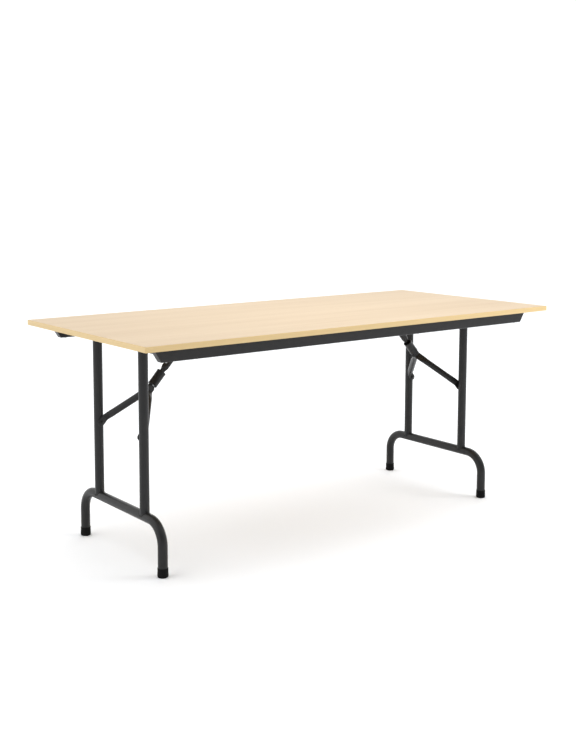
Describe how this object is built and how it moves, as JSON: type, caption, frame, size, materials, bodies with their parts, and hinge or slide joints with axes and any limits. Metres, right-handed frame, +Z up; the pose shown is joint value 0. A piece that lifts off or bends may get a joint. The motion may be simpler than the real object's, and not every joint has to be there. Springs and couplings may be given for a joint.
{
  "type": "folding table",
  "caption": "Rectangular folding table with a pale wood-look top, dark steel side rails, and tubular leg frames that fold flat under it on sliding-sleeve knee braces.",
  "frame": {"origin": "on the floor, under the middle of the table top", "axes": "+X along the length of the top, +Y from the front long edge to the back one, +Z up"},
  "size_m": [1.8, 0.8, 0.76],
  "materials": {
    "maple_laminate": "satin melamine with a faint straight grain",
    "edge_lipping": "satin lipping, slightly deeper than the top",
    "powder_coated_steel": "satin anthracite powder coat",
    "rubber": "matte",
    "nylon": "matte",
    "zinc_plated_steel": "bright zinc"
  },
  "bodies": {
    "top": {"table_top": "maple_laminate", "edge_band_front": "edge_lipping", "edge_band_back": "edge_lipping", "edge_band_left": "edge_lipping", "edge_band_right": "edge_lipping", "side_rail_front": "powder_coated_steel", "rail_screw_front_1": "zinc_plated_steel", "rail_screw_front_2": "zinc_plated_steel", "rail_screw_front_3": "zinc_plated_steel", "rail_screw_front_4": "zinc_plated_steel", "side_rail_back": "powder_coated_steel", "rail_screw_back_1": "zinc_plated_steel", "rail_screw_back_2": "zinc_plated_steel", "rail_screw_back_3": "zinc_plated_steel", "rail_screw_back_4": "zinc_plated_steel", "pivot_bush_left_front": "nylon", "pivot_bush_left_back": "nylon", "strut_bracket_left": "powder_coated_steel", "bracket_pin_left": "zinc_plated_steel", "bracket_screw_left_1": "zinc_plated_steel", "bracket_screw_left_2": "zinc_plated_steel", "pivot_bush_right_front": "nylon", "pivot_bush_right_back": "nylon", "strut_bracket_right": "powder_coated_steel", "bracket_pin_right": "zinc_plated_steel", "bracket_screw_right_1": "zinc_plated_steel", "bracket_screw_right_2": "zinc_plated_steel"},
    "leg_frame_left": {"hinge_tube_left": "powder_coated_steel", "leg_tube_left_front": "powder_coated_steel", "leg_tube_left_back": "powder_coated_steel", "foot_tube_left": "powder_coated_steel", "foot_cap_left_front": "rubber", "foot_cap_left_back": "rubber"},
    "strut_left": {"brace_strut_left": "powder_coated_steel", "knee_pin_left": "zinc_plated_steel"},
    "arms_left": {"brace_arm_left_front": "powder_coated_steel", "arm_rivet_left_front": "powder_coated_steel", "brace_arm_left_back": "powder_coated_steel", "arm_rivet_left_back": "powder_coated_steel"},
    "sleeve_left": {"lock_sleeve_left": "powder_coated_steel"},
    "leg_frame_right": {"hinge_tube_right": "powder_coated_steel", "leg_tube_right_front": "powder_coated_steel", "leg_tube_right_back": "powder_coated_steel", "foot_tube_right": "powder_coated_steel", "foot_cap_right_front": "rubber", "foot_cap_right_back": "rubber"},
    "strut_right": {"brace_strut_right": "powder_coated_steel", "knee_pin_right": "zinc_plated_steel"},
    "arms_right": {"brace_arm_right_front": "powder_coated_steel", "arm_rivet_right_front": "powder_coated_steel", "brace_arm_right_back": "powder_coated_steel", "arm_rivet_right_back": "powder_coated_steel"},
    "sleeve_right": {"lock_sleeve_right": "powder_coated_steel"}
  },
  "joints": [
    {"name": "left_leg_fold", "type": "hinge", "parent": "top", "child": "leg_frame_left", "pos_m": [-0.762, 0, 0.72], "axis": [0, -1, 0], "range_deg": [0, 90]},
    {"name": "left_strut_swing", "type": "hinge", "parent": "top", "child": "strut_left", "pos_m": [-0.494, 0, 0.72], "axis": [0, -1, 0], "range_deg": [0, 132.5]},
    {"name": "left_knee", "type": "hinge", "parent": "strut_left", "child": "arms_left", "pos_m": [-0.63708, 0, 0.56251], "axis": [0, 1, 0], "range_deg": [0, 180]},
    {"name": "left_sleeve_slide", "type": "slide", "parent": "strut_left", "child": "sleeve_left", "axis": [0.6724, 0, 0.7402], "range_m": [0, 0.0545]},
    {"name": "right_leg_fold", "type": "hinge", "parent": "top", "child": "leg_frame_right", "pos_m": [0.706, 0, 0.72], "axis": [0, 1, 0], "range_deg": [0, 90]},
    {"name": "right_strut_swing", "type": "hinge", "parent": "top", "child": "strut_right", "pos_m": [0.438, 0, 0.72], "axis": [0, 1, 0], "range_deg": [0, 132.5]},
    {"name": "right_knee", "type": "hinge", "parent": "strut_right", "child": "arms_right", "pos_m": [0.58108, 0, 0.56251], "axis": [0, -1, 0], "range_deg": [0, 180]},
    {"name": "right_sleeve_slide", "type": "slide", "parent": "strut_right", "child": "sleeve_right", "axis": [-0.6724, 0, 0.7402], "range_m": [0, 0.0545]}
  ],
  "couplings": [
    {"joint": "left_strut_swing", "follows": "left_leg_fold", "ratio": 1.4695},
    {"joint": "left_knee", "follows": "left_leg_fold", "ratio": 2},
    {"joint": "left_sleeve_slide", "follows": "left_leg_fold", "m_per_rad": 0.034377},
    {"joint": "right_strut_swing", "follows": "right_leg_fold", "ratio": 1.4695},
    {"joint": "right_knee", "follows": "right_leg_fold", "ratio": 2},
    {"joint": "right_sleeve_slide", "follows": "right_leg_fold", "m_per_rad": 0.034377}
  ]
}
